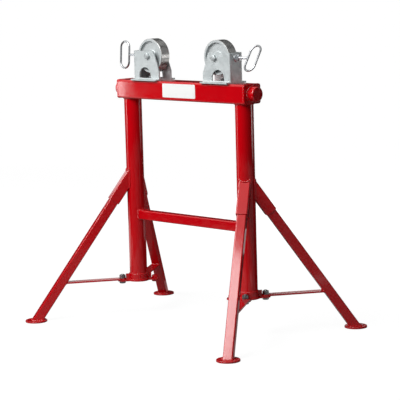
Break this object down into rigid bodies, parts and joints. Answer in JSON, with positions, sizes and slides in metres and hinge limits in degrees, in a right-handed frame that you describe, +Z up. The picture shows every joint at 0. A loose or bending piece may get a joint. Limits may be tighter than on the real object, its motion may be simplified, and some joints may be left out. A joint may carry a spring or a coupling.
{
  "type": "pipe roller support",
  "caption": "Free-standing pipe support: a tubular beam on splayed legs carries steel rollers in sliding brackets, each with a loop-handled screw that locks it.",
  "frame": {"origin": "on the floor under the middle of the stand", "axes": "+X along the top beam to the right, -Y the front, +Z up"},
  "size_m": [0.9948, 0.6814, 0.9591],
  "materials": {
    "red_paint": "gloss",
    "zinc": "satin",
    "roller_steel": "turned",
    "bright_steel": "bright",
    "bronze": "plain"
  },
  "bodies": {
    "stand": {"top_beam": "red_paint", "left_end_cap": "red_paint", "right_end_cap": "red_paint", "left_end_stub": "red_paint", "right_end_stub": "red_paint", "left_column": "red_paint", "right_column": "red_paint", "crossbar": "red_paint", "left_base_plate": "red_paint", "right_base_plate": "red_paint", "front_left_socket": "red_paint", "rear_left_socket": "red_paint", "front_right_socket": "red_paint", "rear_right_socket": "red_paint", "front_left_leg": "red_paint", "rear_left_leg": "red_paint", "front_right_leg": "red_paint", "rear_right_leg": "red_paint", "front_left_foot": "red_paint", "rear_left_foot": "red_paint", "front_right_foot": "red_paint", "rear_right_foot": "red_paint", "front_left_brace": "red_paint", "rear_left_brace": "red_paint", "front_right_brace": "red_paint", "rear_right_brace": "red_paint", "foot_collars": "red_paint", "foot_gussets": "red_paint", "spare_bolts": "red_paint", "spare_nuts": "red_paint", "brace_bolts": "zinc", "brace_washers": "zinc", "brace_nuts": "zinc"},
    "left_head": {"left_bracket": "zinc", "left_hold_down_strap": "zinc", "left_hold_down_bolt": "zinc", "left_hold_down_nut": "zinc", "left_axle_bolt": "bright_steel", "left_axle_nut": "bright_steel", "left_thrust_washers": "roller_steel", "left_lock_nut": "zinc"},
    "left_wheel": {"left_roller": "roller_steel", "left_bush": "bronze"},
    "left_lock_shoe": {"left_lock_pad": "roller_steel"},
    "left_lock_handle": {"left_lock_screw": "bright_steel", "left_loop_handle": "bright_steel"},
    "right_head": {"right_bracket": "zinc", "right_hold_down_strap": "zinc", "right_hold_down_bolt": "zinc", "right_hold_down_nut": "zinc", "right_axle_bolt": "bright_steel", "right_axle_nut": "bright_steel", "right_thrust_washers": "roller_steel", "right_lock_nut": "zinc"},
    "right_wheel": {"right_roller": "roller_steel", "right_bush": "bronze"},
    "right_lock_shoe": {"right_lock_pad": "roller_steel"},
    "right_lock_handle": {"right_lock_screw": "bright_steel", "right_loop_handle": "bright_steel"}
  },
  "joints": [
    {"name": "left_head_slide", "type": "slide", "parent": "stand", "child": "left_head", "axis": [-1, 0, 0], "range_m": [-0.05, 0.03]},
    {"name": "left_roller_spin", "type": "hinge", "parent": "left_head", "child": "left_wheel", "pos_m": [-0.151, 0, 0.902], "axis": [0, 1, 0], "continuous": true},
    {"name": "left_lock_advance", "type": "slide", "parent": "left_head", "child": "left_lock_shoe", "axis": [-1, 0, 0], "range_m": [-0.00171, 0.00181]},
    {"name": "left_lock_turn", "type": "hinge", "parent": "left_lock_shoe", "child": "left_lock_handle", "pos_m": [-0.2945, 0, 0.902], "axis": [-1, 0, 0], "range_deg": [-408, 432]},
    {"name": "right_head_slide", "type": "slide", "parent": "stand", "child": "right_head", "axis": [1, 0, 0], "range_m": [-0.05, 0.03]},
    {"name": "right_roller_spin", "type": "hinge", "parent": "right_head", "child": "right_wheel", "pos_m": [0.162, 0, 0.902], "axis": [0, 1, 0], "continuous": true},
    {"name": "right_lock_advance", "type": "slide", "parent": "right_head", "child": "right_lock_shoe", "axis": [1, 0, 0], "range_m": [-0.00171, 0.00181]},
    {"name": "right_lock_turn", "type": "hinge", "parent": "right_lock_shoe", "child": "right_lock_handle", "pos_m": [0.3055, 0, 0.902], "axis": [1, 0, 0], "range_deg": [-408, 432]}
  ],
  "couplings": [
    {"joint": "left_lock_advance", "follows": "left_lock_turn", "m_per_rad": 0.00023873},
    {"joint": "right_lock_advance", "follows": "right_lock_turn", "m_per_rad": 0.00023873}
  ]
}
